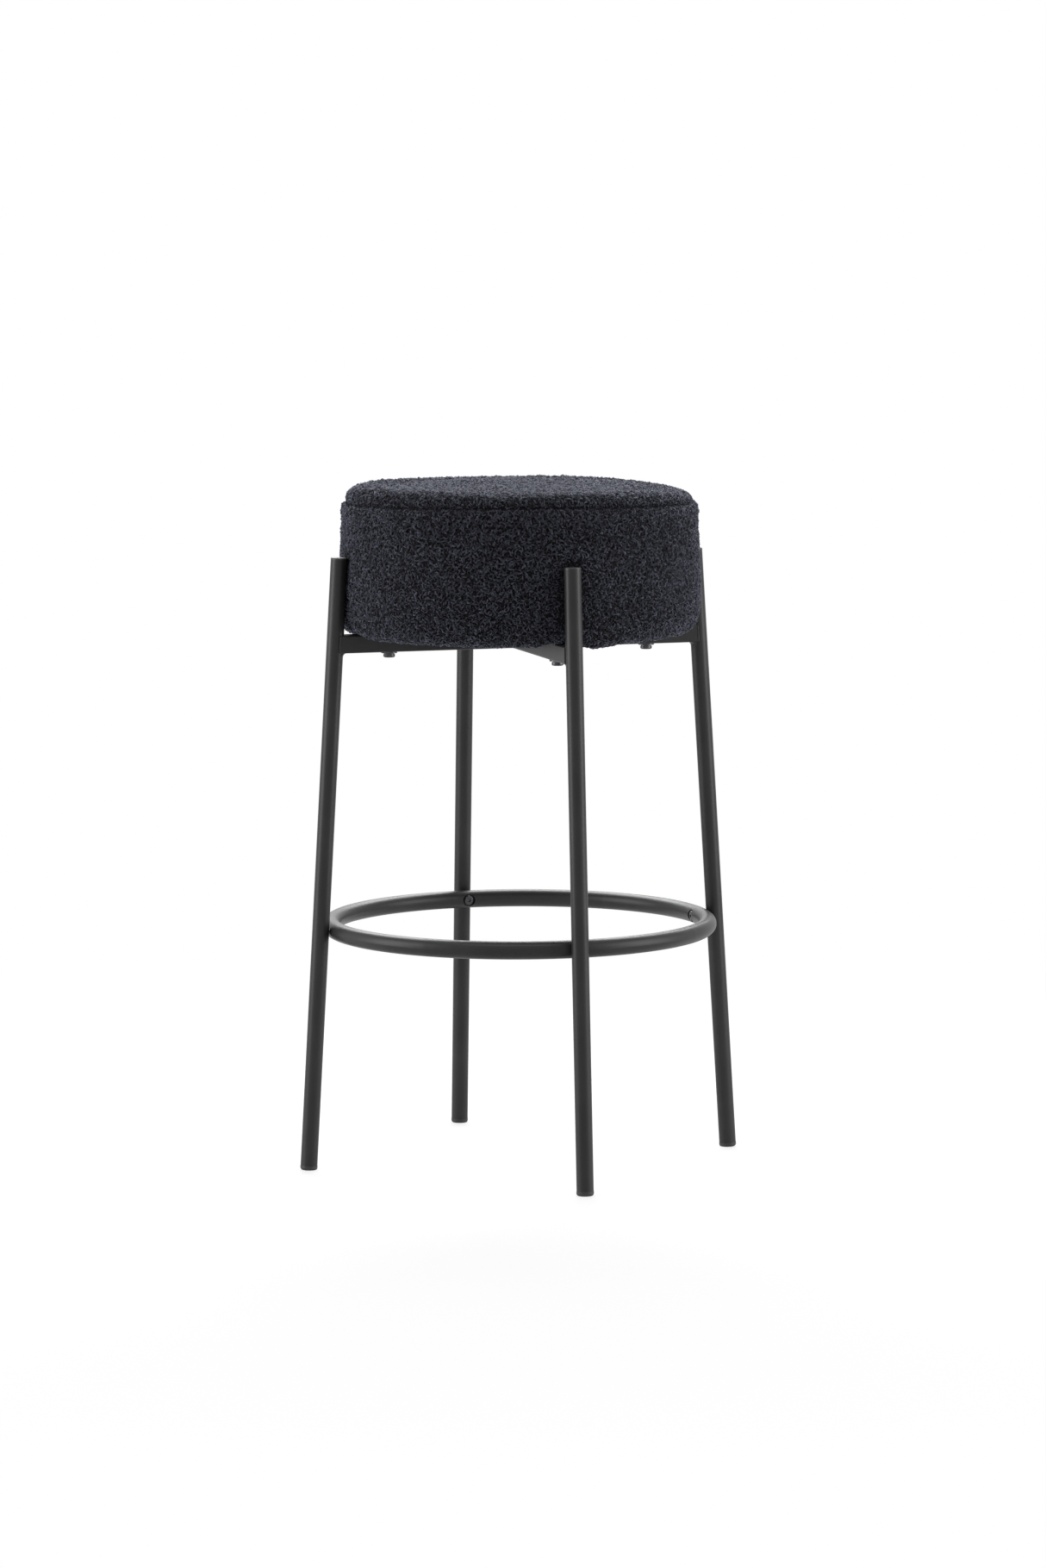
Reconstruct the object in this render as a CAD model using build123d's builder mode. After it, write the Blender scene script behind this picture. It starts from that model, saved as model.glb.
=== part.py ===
"""Round bar stool with a footrest ring, as the pieces it comes apart into.

Millimetres, +Z up, origin on the floor under the middle of the seat. The front leg stands on -Y, the right
leg on +X. Two leg pairs, each welded to a square bar, cross in a half lap under the seat. The seat is bolted
down onto the bars, and a tube ring is screwed to the inside of the four legs.
"""
import os
from math import atan2, cos, degrees, radians, sin, sqrt, tan

from build123d import *

# Legs: round tube, leaning outwards to the floor
leg_diameter = 19.0
leg_wall = 1.5
leg_top_height = 685.0
leg_press = 5.0  # how far a leg's top reaches inside the cushion's radius
leg_splay = 40.5  # how much further out a leg's axis is at the floor than at its top

# Moulded caps and glides, pressed into the ends of the legs
plug_clearance = 0.05  # between a plug's fins and the tube
plug_length = 16.0
plug_core_diameter = 12.0
plug_bore_diameter = 8.0
fin_thickness = 1.6
fin_count = 2
cap_thickness = 2.0
cap_edge_rounding = 1.2
glide_diameter = 19.4
glide_height = 4.7  # from the floor to the end of the tube
glide_rim_height = 2.0
glide_foot_diameter = 12.4

# Cross of square bars under the seat
bar_width = 20.0
bar_wall = 1.5
bore_corner_radius = 0.5  # inside corners of the bar's tube
bar_top_height = 599.0
bar_end_setback = 3.0  # bar's tips stop short of the leg's axis
lap_clearance = 0.2
weld_clearance = 0.05
weld_leg_length = 5.0

# Footrest ring and the screws that hold it
ring_tube_diameter = 20.0
ring_tube_wall = 1.5
ring_height = 267.0
ring_seat_clearance = 0.1  # ring to leg
ring_pocket_diameter = 14.4
ring_screw_sink = 0.7  # top of the screw's head below the ring's surface
ring_screw_diameter = 6.0
ring_screw_head_diameter = 11.0
ring_screw_head_height = 3.3
ring_screw_length = 25.0
insert_diameter = 9.0
insert_collar_diameter = 12.0
insert_collar_length = 3.0
insert_length = 11.0
hole_clearance = 0.3  # round a screw or bolt, on the radius
thread_clearance = 0.05  # between a screw and its thread, on the radius
hex_socket_size = 4.0
hex_socket_depth = 2.0
head_edge_rounding = 1.6

# Bolts that hold the seat
seat_bolt_diameter = 6.0
seat_bolt_head_diameter = 13.2
seat_bolt_head_height = 3.3
seat_bolt_end_recess = 0.2  # bolt's end below the tee nut's flange
washer_diameter = 18.0
washer_thickness = 1.6
spring_washer_diameter = 11.8
spring_washer_thickness = 1.6
spring_washer_split = 1.2
tee_flange_diameter = 19.0
tee_flange_thickness = 1.5
tee_barrel_diameter = 8.0
tee_barrel_length = 9.0
tee_prong_width = 3.0
tee_prong_thickness = 1.2
tee_prong_length = 6.0
tee_prong_count = 4

# Seat: board, foam and cover
board_thickness = 12.0
foam_wrap = 4.0  # foam that laps the board's edge, at its lower face
tee_pocket_clearance = 0.5  # foam round and over a tee nut
cover_thickness = 2.5
hem_width = 19.0
hem_clearance = 2.7  # from the hem's edge to a bolt's hole
dust_cover_thickness = 1.0
dust_cover_margin = 8.0  # inside the flat of the seat's base
leg_dent_clearance = 0.3  # cushion to the legs that press it in
cushion_radius = 202.0  # where the side would meet the base, were the edge sharp
seat_crown_height = 761.0
crown_setback = 30.0  # inside the cushion's radius, where the crown starts to roll over
crown_drop = 2.4
seam_setback = 8.5
seam_drop = 15.0  # seam below the crown
shoulder_setback = 2.2
shoulder_drop = 12.0  # shoulder below the seam
side_swell = 1.6  # how far the side swells past a straight line
lower_edge_radius = 27.0

leg_angles = {"front": -90.0, "right": 0.0, "rear": 90.0, "left": 180.0}
bar_angles = {"left_right": 0.0, "front_rear": 90.0}

leg_radius = leg_diameter / 2
leg_bore_radius = leg_radius - leg_wall
leg_top_radius = cushion_radius - leg_press + leg_radius  # leg axis to stool axis
leg_floor_radius = leg_top_radius + leg_splay
lean = atan2(leg_splay, leg_top_height)
leg_length = leg_top_height / cos(lean)

bar_corner_radius = bore_corner_radius + bar_wall
bar_bottom_height = bar_top_height - bar_width
bar_middle_height = bar_top_height - bar_width / 2
bar_half_length = leg_floor_radius - bar_middle_height * tan(lean) - bar_end_setback

ring_tube_radius = ring_tube_diameter / 2
ring_to_leg = ring_tube_radius + ring_seat_clearance + leg_radius  # ring's tube axis to leg axis
ring_radius = leg_floor_radius - ring_height * tan(lean) - ring_to_leg / cos(lean)
pocket_depth = ring_screw_head_height + ring_screw_sink
pocket_floor = pocket_depth - ring_tube_radius  # along the screw, from the ring's tube axis
insert_radius = insert_diameter / 2
insert_face = ring_to_leg - sqrt(leg_radius**2 - insert_radius**2)  # insert's end, flush with its hole's rim

base_height = bar_top_height + dust_cover_thickness
board_height = base_height + cover_thickness
board_top_height = board_height + board_thickness
seat_base_radius = cushion_radius - lower_edge_radius  # flat of the seat's base
board_radius = seat_base_radius - foam_wrap
crown_radius = cushion_radius - crown_setback
seam_radius = cushion_radius - seam_setback
seam_height = seat_crown_height - seam_drop
shoulder_radius = cushion_radius - shoulder_setback
shoulder_height = seam_height - shoulder_drop
washer_height = bar_bottom_height - washer_thickness
spring_washer_height = washer_height - spring_washer_thickness
tee_top_height = board_top_height + tee_flange_thickness
tee_prong_radius = (tee_flange_diameter - tee_prong_thickness) / 2 - thread_clearance
seat_bolt_length = tee_top_height - seat_bolt_end_recess - spring_washer_height
seat_bolt_hole_radius = seat_bolt_diameter / 2 + hole_clearance
seat_bolt_circle_radius = seat_base_radius - hem_width - hem_clearance - seat_bolt_hole_radius


def leg_plane(angle, along=0.0):
    """Plane square to a leg, `along` its axis from the floor, with x pointing away from the stool."""
    outward = Vector(cos(radians(angle)), sin(radians(angle)), 0)
    up = Vector(0, 0, 1)
    square_out = outward * cos(lean) + up * sin(lean)
    leg_axis = up * cos(lean) - outward * sin(lean)
    return Plane(outward * leg_floor_radius, square_out, leg_axis).offset(along)


def screw_plane(angle, along=0.0):
    """Plane square to a ring screw, `along` it from the ring's tube axis outwards to the leg."""
    outward = Vector(cos(radians(angle)), sin(radians(angle)), 0)
    up = Vector(0, 0, 1)
    middle = outward * ring_radius + up * ring_height
    return Plane(middle, outward.cross(up), outward * cos(lean) + up * sin(lean)).offset(along)


def bar_plane(angle):
    """Plane square to a bar, at the middle of the cross."""
    along = Vector(cos(radians(angle)), sin(radians(angle)), 0)
    return Plane((0, 0, bar_middle_height), along.cross(Vector(0, 0, 1)), along)


def save(piece, name):
    """Name a finished piece and write it."""
    piece.part.label = name
    export_step(piece.part, f"parts/{name}.step")


os.makedirs("parts", exist_ok=True)
quarter = 360 / len(leg_angles)
between_legs = Plane.XZ.rotated((0, 0, -quarter / 2))  # upright plane halfway from the front leg to the right

# Legs, with the hole for the footrest's threaded insert in the inner wall
for name, angle in leg_angles.items():
    with BuildPart() as leg:
        with BuildSketch(leg_plane(angle, glide_height)):
            Circle(leg_radius)
            Circle(leg_bore_radius, mode=Mode.SUBTRACT)
        extrude(amount=leg_length - cap_thickness - glide_height)
        with BuildSketch(screw_plane(angle)):
            Circle(insert_radius + thread_clearance)
        extrude(amount=ring_to_leg, mode=Mode.SUBTRACT)
    save(leg, f"leg_{name}")


def plug_section(end):
    """Finned plug beside the axis, growing up from the local origin or, with end -1, down from it."""
    fin_gap = (plug_length - fin_thickness) / fin_count
    with Locations((plug_bore_diameter / 2, min(0, end * plug_length))):
        Rectangle((plug_core_diameter - plug_bore_diameter) / 2, plug_length, align=(Align.MIN, Align.MIN))
    for fin in range(1, fin_count + 1):
        with Locations((plug_bore_diameter / 2, end * fin * fin_gap)):
            Rectangle(
                leg_bore_radius - plug_clearance - plug_bore_diameter / 2,
                fin_thickness,
                align=(Align.MIN, Align.CENTER),
            )


# Caps: a rounded disc as wide as the tube, on a finned plug
for name, angle in leg_angles.items():
    tube_end = leg_plane(angle, leg_length - cap_thickness)
    with BuildPart() as leg_cap:
        with BuildSketch(Plane(tube_end.origin, tube_end.x_dir, -tube_end.y_dir)):
            with BuildLine():
                rounding_start = (leg_radius, cap_thickness - cap_edge_rounding)
                rounding_end = (leg_radius - cap_edge_rounding, cap_thickness)
                Polyline(rounding_end, (0, cap_thickness), (0, 0), (leg_radius, 0), rounding_start)
                RadiusArc(rounding_start, rounding_end, -cap_edge_rounding)
            make_face()
            plug_section(-1)
        revolve(axis=Axis(tube_end.origin, tube_end.z_dir))
    save(leg_cap, f"leg_cap_{name}")

# Glides: a rim a little wider than the tube, tapering to a foot that lies flat on the floor
for name, angle in leg_angles.items():
    tube_end = leg_plane(angle, glide_height)
    foot_drop = glide_height + glide_diameter / 2 * tan(lean)
    with BuildPart() as glide:
        with BuildSketch(Plane(tube_end.origin, tube_end.x_dir, -tube_end.y_dir)):
            with BuildLine():
                rim = (glide_diameter / 2, -glide_rim_height)
                foot = (glide_foot_diameter / 2, -foot_drop)
                Polyline(foot, (0, -foot_drop), (0, 0), (glide_diameter / 2, 0), rim)
                TangentArc(rim, foot, tangent=(0, -1))
            make_face()
            plug_section(1)
        revolve(axis=Axis(tube_end.origin, tube_end.z_dir))
        split(bisect_by=Plane.XY, keep=Keep.TOP)
    save(glide, f"foot_glide_{name}")

# Bars: square tube, ends coped to the leaning legs, half lapped where they cross
for name, angle in bar_angles.items():
    laps_over = name == "front_rear"
    with BuildPart() as bar:
        with BuildSketch(bar_plane(angle)):
            RectangleRounded(bar_width, bar_width, bar_corner_radius)
            bore_width = bar_width - 2 * bar_wall
            RectangleRounded(bore_width, bore_width, bore_corner_radius, mode=Mode.SUBTRACT)
        extrude(amount=bar_half_length, both=True)
        for end_angle in (angle, angle + 180):
            with BuildSketch(leg_plane(end_angle)):
                Circle(leg_radius + weld_clearance)
            extrude(amount=leg_length, mode=Mode.SUBTRACT)
        with BuildSketch(Plane.XY.offset(bar_bottom_height)):
            with PolarLocations(seat_bolt_circle_radius, 2, start_angle=angle):
                Circle(seat_bolt_hole_radius)
        extrude(amount=bar_width, mode=Mode.SUBTRACT)
        notch_floor = bar_middle_height + (lap_clearance / 2 if laps_over else -lap_clearance / 2)
        with BuildSketch(Plane.XY.offset(notch_floor)):
            Rectangle(bar_width + 2 * lap_clearance, bar_width + 2 * lap_clearance)
        extrude(amount=-bar_width if laps_over else bar_width, mode=Mode.SUBTRACT)
    save(bar, f"cross_bar_{name}")

# Weld beads: hollow fillets in the corner between a bar's lower face and its leg
bead_corner = leg_plane(leg_angles["right"], bar_bottom_height / cos(lean))
bead_inner = -leg_radius - weld_clearance
bead_outer = bead_inner - weld_leg_length
bead_rise = -bead_outer * tan(lean)
with BuildPart() as weld_bead:
    with BuildSketch(Plane(bead_corner.origin, bead_corner.x_dir, -bead_corner.y_dir)):
        with BuildLine():
            toe = (bead_inner, bead_rise - weld_leg_length)
            tip = (bead_outer, bead_rise)
            Polyline(tip, (bead_outer, 2 * bead_rise), (bead_inner, 2 * bead_rise), toe)
            TangentArc(toe, tip, tangent=(0, 1))
        make_face()
    revolve(axis=Axis(bead_corner.origin, bead_corner.z_dir))
    with BuildSketch(Plane.XY.offset(bar_bottom_height)):
        Rectangle(leg_floor_radius, bar_width - 2 * bar_corner_radius, align=(Align.MIN, Align.CENTER))
    extrude(amount=-bar_width, mode=Mode.INTERSECT)
    split(bisect_by=Plane(bead_corner.origin, z_dir=-bead_corner.x_dir), keep=Keep.TOP)

with BuildPart() as bar_weld_beads:
    with PolarLocations(0, len(leg_angles)):
        add(weld_bead.part)
save(bar_weld_beads, "bar_weld_beads")

# Footrest ring: bent tube, with a pocket pressed into its inner side for each screw's head. A quarter is made
# round the right leg's screw, and four quarters without their end faces are sewn into one tube.

with BuildPart() as quarter_hollow:
    with BuildSketch(between_legs):
        with Locations((ring_radius, ring_height)):
            Circle(ring_tube_radius - ring_tube_wall)
    revolve(axis=Axis.Z, revolution_arc=quarter)
    with BuildSketch(screw_plane(leg_angles["right"], pocket_floor + ring_tube_wall)):
        Circle(ring_pocket_diameter / 2 + ring_tube_wall)
    extrude(amount=-ring_tube_radius, mode=Mode.SUBTRACT)

with BuildPart() as ring_quarter:
    with BuildSketch(between_legs):
        with Locations((ring_radius, ring_height)):
            Circle(ring_tube_radius)
    revolve(axis=Axis.Z, revolution_arc=quarter)
    add(quarter_hollow.part, mode=Mode.SUBTRACT)
    with BuildSketch(screw_plane(leg_angles["right"], pocket_floor)):
        Circle(ring_pocket_diameter / 2)
    extrude(amount=-ring_tube_diameter, mode=Mode.SUBTRACT)
    with BuildSketch(screw_plane(leg_angles["right"], pocket_floor)):
        Circle(ring_screw_diameter / 2 + hole_clearance)
    extrude(amount=ring_tube_diameter, mode=Mode.SUBTRACT)

with BuildPart() as footrest_ring:
    skin = ring_quarter.faces().filter_by(lambda face: abs(face.center().Y) < ring_radius / 2)
    turns = [turn * quarter for turn in range(len(leg_angles))]
    add(Solid(Shell([face.rotate(Axis.Z, turn) for turn in turns for face in skin])), clean=False)
save(footrest_ring, "footrest_ring")


def socket_head_screw(plane, diameter, length, head_diameter, head_height):
    """Round-headed hexagon-socket screw whose head seats on the plane and whose shank rises from it."""
    with BuildPart() as screw:
        with BuildSketch(plane):
            Circle(diameter / 2)
        extrude(amount=length)
        with BuildSketch(plane):
            Circle(head_diameter / 2)
        extrude(amount=-head_height)
        rim = screw.edges().filter_by(GeomType.CIRCLE).sort_by(Axis(plane.origin, plane.z_dir))[0]
        fillet(rim, head_edge_rounding)
        with BuildSketch(plane.offset(-head_height)):
            RegularPolygon(hex_socket_size / 2, 6, major_radius=False)
        extrude(amount=hex_socket_depth, mode=Mode.SUBTRACT)
    return screw.part


# Screws that hold the ring, and the threaded inserts that they go into
ring_screw = socket_head_screw(
    screw_plane(leg_angles["right"], pocket_floor),
    ring_screw_diameter,
    ring_screw_length,
    ring_screw_head_diameter,
    ring_screw_head_height,
)

with BuildPart() as footrest_screws:
    with PolarLocations(0, len(leg_angles)):
        add(ring_screw)
save(footrest_screws, "footrest_screws")

with BuildPart() as thread_insert:
    with BuildSketch(screw_plane(leg_angles["right"], ring_to_leg - leg_radius)):
        Circle(insert_collar_diameter / 2)
    extrude(amount=leg_wall + insert_collar_length)
    with BuildSketch(leg_plane(leg_angles["right"])):
        Circle(leg_bore_radius)
    extrude(amount=leg_length, mode=Mode.INTERSECT)
    with BuildSketch(screw_plane(leg_angles["right"], insert_face)):
        Circle(insert_radius)
    extrude(amount=insert_length)
    with BuildSketch(screw_plane(leg_angles["right"], insert_face)):
        Circle(ring_screw_diameter / 2 + thread_clearance)
    extrude(amount=insert_length, mode=Mode.SUBTRACT)

with BuildPart() as leg_thread_inserts:
    with PolarLocations(0, len(leg_angles)):
        add(thread_insert.part)
save(leg_thread_inserts, "leg_thread_inserts")

# Bolts that hold the seat, each with a flat washer and a split spring washer under the bar
seat_bolt = socket_head_screw(
    Plane((seat_bolt_circle_radius, 0, spring_washer_height)),
    seat_bolt_diameter,
    seat_bolt_length,
    seat_bolt_head_diameter,
    seat_bolt_head_height,
)

with BuildPart() as seat_bolts:
    with PolarLocations(0, len(leg_angles)):
        add(seat_bolt)
save(seat_bolts, "seat_bolts")

with BuildPart() as seat_bolt_washers:
    with BuildSketch(Plane.XY.offset(washer_height)):
        with PolarLocations(seat_bolt_circle_radius, len(leg_angles)):
            Circle(washer_diameter / 2)
            Circle(seat_bolt_hole_radius, mode=Mode.SUBTRACT)
    extrude(amount=washer_thickness)
save(seat_bolt_washers, "seat_bolt_washers")

with BuildPart() as seat_bolt_spring_washers:
    with BuildSketch(Plane.XY.offset(spring_washer_height)):
        with PolarLocations(seat_bolt_circle_radius, len(leg_angles)):
            Circle(spring_washer_diameter / 2)
            Circle(seat_bolt_hole_radius, mode=Mode.SUBTRACT)
        with PolarLocations(seat_bolt_circle_radius + spring_washer_diameter / 2, len(leg_angles)):
            Rectangle(spring_washer_diameter, spring_washer_split, mode=Mode.SUBTRACT)
    extrude(amount=spring_washer_thickness)
save(seat_bolt_spring_washers, "seat_bolt_spring_washers")

# Tee nuts, flange on top of the board and prongs driven into it
with BuildPart() as seat_tee_nuts:
    with BuildSketch(Plane.XY.offset(board_top_height)):
        with PolarLocations(seat_bolt_circle_radius, len(leg_angles)):
            Circle(tee_flange_diameter / 2)
    extrude(amount=tee_flange_thickness)
    with BuildSketch(Plane.XY.offset(board_top_height)):
        with PolarLocations(seat_bolt_circle_radius, len(leg_angles)):
            Circle(tee_barrel_diameter / 2)
    extrude(amount=-tee_barrel_length)
    with BuildSketch(Plane.XY.offset(board_top_height)):
        with PolarLocations(seat_bolt_circle_radius, len(leg_angles)):
            with PolarLocations(tee_prong_radius, tee_prong_count):
                Rectangle(tee_prong_thickness, tee_prong_width)
    extrude(amount=-tee_prong_length)
    with BuildSketch(Plane.XY.offset(tee_top_height)):
        with PolarLocations(seat_bolt_circle_radius, len(leg_angles)):
            Circle(seat_bolt_diameter / 2 + thread_clearance)
    extrude(amount=-tee_flange_thickness - tee_barrel_length, mode=Mode.SUBTRACT)
save(seat_tee_nuts, "seat_tee_nuts")

# Seat board: round plywood, bored for the tee nuts
with BuildPart() as seat_board:
    with BuildSketch(Plane.XY.offset(board_height)):
        Circle(board_radius)
        with PolarLocations(seat_bolt_circle_radius, len(leg_angles)):
            Circle(tee_barrel_diameter / 2, mode=Mode.SUBTRACT)
    extrude(amount=board_thickness)
    add(seat_tee_nuts.part, mode=Mode.SUBTRACT)
save(seat_board, "seat_board")


def seat_form(inset):
    """The cushion's form, `inset` under the cover's surface, dented where the legs press it in."""
    with BuildPart() as form:
        with BuildSketch(between_legs) as section:
            with BuildLine():
                top = (0, seat_crown_height - inset)
                crown_edge = (crown_radius, seat_crown_height - crown_drop - inset)
                seam = (seam_radius - inset * sqrt(0.5), seam_height - inset * sqrt(0.5))
                shoulder = (shoulder_radius - inset, shoulder_height)
                base_corner = (cushion_radius - inset, base_height + inset)
                swell = (Vector(*shoulder) + Vector(*base_corner)) / 2 + Vector(side_swell, 0)
                crown = TangentArc(top, crown_edge, tangent=(1, 0))
                TangentArc(crown_edge, seam, tangent=crown % 1)
                side = Spline(shoulder, swell, base_corner)
                TangentArc(shoulder, seam, tangent=(side % 0) * -1)
                Polyline(base_corner, (0, base_height + inset), top)
            make_face()
            lower_edge = section.vertices().group_by(Axis.Y)[0].sort_by(Axis.X)[-1]
            fillet(lower_edge, lower_edge_radius - inset)
        revolve(axis=Axis.Z)
        for angle in leg_angles.values():
            with BuildSketch(leg_plane(angle)):
                Circle(leg_radius + leg_dent_clearance + inset)
            extrude(amount=leg_length + leg_dent_clearance + inset, mode=Mode.SUBTRACT)
    return form.part


# What fills the cover: foam over the board, lapping the board's edge
seat_core = seat_form(cover_thickness)

with BuildPart() as seat_foam:
    add(seat_core)
    with BuildSketch(Plane.XY.offset(board_height)):
        Circle(board_radius)
    extrude(amount=board_thickness, mode=Mode.SUBTRACT)
    with BuildSketch(Plane.XY.offset(board_top_height)):
        with PolarLocations(seat_bolt_circle_radius, len(leg_angles)):
            Circle(tee_flange_diameter / 2 + tee_pocket_clearance)
    extrude(amount=tee_flange_thickness + tee_pocket_clearance, mode=Mode.SUBTRACT)
save(seat_foam, "seat_foam")

# Cover: top panel and side band, sewn together at the seam; the band's hem is turned under the board
with BuildPart() as cover:
    add(seat_form(0))
    add(seat_core, mode=Mode.SUBTRACT)
    with BuildSketch(Plane.XY.offset(base_height)):
        Circle(seat_base_radius - hem_width)
    extrude(amount=cover_thickness, mode=Mode.SUBTRACT)

with BuildPart() as cover_top_panel:
    add(cover.part)
    split(bisect_by=Plane.XY.offset(seam_height), keep=Keep.TOP)
save(cover_top_panel, "cover_top_panel")

with BuildPart() as cover_side_band:
    add(cover.part)
    split(bisect_by=Plane.XY.offset(seam_height), keep=Keep.BOTTOM)
save(cover_side_band, "cover_side_band")

# Dust cover: thin cloth that hides the hem and the board
with BuildPart() as dust_cover:
    with BuildSketch(Plane.XY.offset(bar_top_height)):
        Circle(seat_base_radius - dust_cover_margin)
        with PolarLocations(seat_bolt_circle_radius, len(leg_angles)):
            Circle(seat_bolt_hole_radius, mode=Mode.SUBTRACT)
    extrude(amount=dust_cover_thickness)
save(dust_cover, "dust_cover")

print(f"leg lean {degrees(lean):.2f} degrees, ring radius {ring_radius:.2f} mm")
print(f"seat bolt length {seat_bolt_length:.2f} mm")
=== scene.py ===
import math

import bmesh
import bpy
import numpy as np
from mathutils import Matrix, Vector


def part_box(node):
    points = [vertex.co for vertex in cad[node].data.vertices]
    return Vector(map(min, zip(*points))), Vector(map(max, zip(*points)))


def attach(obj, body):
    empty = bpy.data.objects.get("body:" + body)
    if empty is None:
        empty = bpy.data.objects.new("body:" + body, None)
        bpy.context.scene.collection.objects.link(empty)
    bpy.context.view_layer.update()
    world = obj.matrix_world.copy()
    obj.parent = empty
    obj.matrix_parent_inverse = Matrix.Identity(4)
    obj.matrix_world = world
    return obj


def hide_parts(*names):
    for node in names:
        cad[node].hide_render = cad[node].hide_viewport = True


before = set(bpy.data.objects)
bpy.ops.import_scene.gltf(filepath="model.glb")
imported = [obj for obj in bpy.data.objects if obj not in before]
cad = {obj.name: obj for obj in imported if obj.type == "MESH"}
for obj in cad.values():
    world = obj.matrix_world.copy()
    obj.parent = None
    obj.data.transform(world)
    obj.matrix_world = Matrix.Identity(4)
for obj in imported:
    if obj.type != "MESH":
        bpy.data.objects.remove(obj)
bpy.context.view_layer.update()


# Welded frame: four leaning tube legs, a cross of square tube with weld beads under its ends, and the bent
# tube ring of the footrest. Mild steel, sandblasted and powder coated matt black before it is put together.
sides = ("front", "right", "rear", "left")


def linear(hex_colour):
    """An sRGB hex colour as linear RGBA."""
    parts = [int(hex_colour[i:i + 2], 16) / 255 for i in (1, 3, 5)]
    return [c / 12.92 if c <= 0.04045 else ((c + 0.055) / 1.055) ** 2.4 for c in parts] + [1.0]


def add_node(tree, kind, inputs=None, stops=(), into=None, **settings):
    """Add one node. Each input, by name or number, takes a value or a link from another node's socket. Stops
    are the places and hex colours of a ramp. The first output may go straight into another socket."""
    made = tree.nodes.new(kind)
    for name, value in settings.items():
        setattr(made, name, value)
    for name, value in (inputs or {}).items():
        if isinstance(value, bpy.types.NodeSocket):
            tree.links.new(value, made.inputs[name])
        else:
            made.inputs[name].default_value = value
    for number, (stop, hex_colour) in enumerate(stops):
        made.color_ramp.elements[number].color = linear(hex_colour)
        made.color_ramp.elements[number].position = stop
    if into is not None:
        tree.links.new(made.outputs[0], into)
    return made


def start_material(name, **sockets):
    """A new material with these values on its shader. Returns it, its tree, its shader and the Object
    coordinates."""
    material = bpy.data.materials.new(name)
    material.use_nodes = True
    tree = material.node_tree
    shader = tree.nodes["Principled BSDF"]
    for socket, value in sockets.items():
        shader.inputs[socket.replace("_", " ")].default_value = value
    place = add_node(tree, "ShaderNodeTexCoord").outputs["Object"]
    return material, tree, shader, place


def dress(material, *names):
    """Give CAD nodes this material."""
    for name in names:
        cad[name].data.materials.clear()
        cad[name].data.materials.append(material)


# Polyester powder baked to a fine dry texture: a soft, broad highlight with a slight orange peel, no sparkle.
# The grit is drawn coarser than the real powder's, so that it shows close up.
powder_coat, tree, shader, place = start_material("powder_coat_matt_black", IOR=1.5, Specular_IOR_Level=0.22)
grit_mm, peel_mm, cloud_mm = 0.5, 2.6, 60.0
grit = add_node(tree, "ShaderNodeTexNoise", {"Vector": place, "Scale": 1000 / grit_mm, "Detail": 3.0})
peel = add_node(tree, "ShaderNodeTexNoise", {"Vector": place, "Scale": 1000 / peel_mm, "Detail": 1.0})
cloudy = add_node(tree, "ShaderNodeTexNoise", {"Vector": place, "Scale": 1000 / cloud_mm, "Detail": 2.0})
add_node(tree, "ShaderNodeValToRGB", {"Fac": cloudy.outputs["Fac"]},
         stops=((0.3, "#222223"), (0.7, "#29292a")), into=shader.inputs["Base Color"])
add_node(tree, "ShaderNodeMapRange", {
    "Value": grit.outputs["Fac"], "To Min": 0.33, "To Max": 0.46}, into=shader.inputs["Roughness"])
peel_bump = add_node(tree, "ShaderNodeBump", {
    "Height": peel.outputs["Fac"], "Strength": 0.10, "Distance": 0.0004})
add_node(tree, "ShaderNodeBump", {
    "Height": grit.outputs["Fac"], "Strength": 0.22, "Distance": 0.0001,
    "Normal": peel_bump.outputs["Normal"]}, into=shader.inputs["Normal"])
dress(powder_coat, *[f"leg_{side}" for side in sides], "cross_bar_left_right", "cross_bar_front_rear",
      "bar_weld_beads", "footrest_ring")


# Side welds: a short bead down each side of a bar's tip, where it laps the leg's flank. MAG welded by hand
# and coated with the frame, so the bead shows as a low ripple under the same black.
bead_sizes = {"Bead Radius": 0.0010, "Ripple": 0.00010, "Ripple Pitch": 0.0028, "Point Spacing": 0.0004}
bead_sides = 10
taper_share, tip_fullness = 0.12, 0.35
leg_lean, leg_top = 0.0405, 0.685
leg_slope = leg_lean / leg_top
leg_floor_radius = 0.247
weld_sunk, weld_short, weld_behind_axis = 0.0004, 0.001, 0.0036


def start_tree(name, sizes, seeded=False):
    """A new node tree on a mesh, with a named input for each size and for its seed. Returns it, its input
    sockets by name and what they give inside it."""
    tree = bpy.data.node_groups.new(name, "GeometryNodeTree")
    tree.interface.new_socket("Geometry", in_out="INPUT", socket_type="NodeSocketGeometry")
    sockets = {size: tree.interface.new_socket(size, in_out="INPUT", socket_type="NodeSocketFloat")
               for size in sizes}
    if seeded:
        sockets["Seed"] = tree.interface.new_socket("Seed", in_out="INPUT", socket_type="NodeSocketInt")
    tree.interface.new_socket("Geometry", in_out="OUTPUT", socket_type="NodeSocketGeometry")
    return tree, sockets, add_node(tree, "NodeGroupInput").outputs


def new_object(name, data):
    """An object of this mesh, lamp or camera, at the origin of the scene."""
    made = bpy.data.objects.new(name, data)
    bpy.context.scene.collection.objects.link(made)
    return made


def apply_modifiers(piece):
    """Make what the piece's modifiers show its own plain mesh."""
    plain = bpy.data.meshes.new_from_object(piece.evaluated_get(bpy.context.evaluated_depsgraph_get()))
    piece.modifiers.clear()
    piece.data = plain


def grow(name, mesh, tree, sockets, sizes):
    """A piece made by a node tree on a mesh, turned into a plain mesh at the origin."""
    piece = new_object(name, mesh)
    modifier = piece.modifiers.new("Made by nodes", "NODES")
    modifier.node_group = tree
    for socket, value in sizes.items():
        modifier[sockets[socket].identifier] = value
    apply_modifiers(piece)
    piece.data.name = name
    return piece


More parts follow.
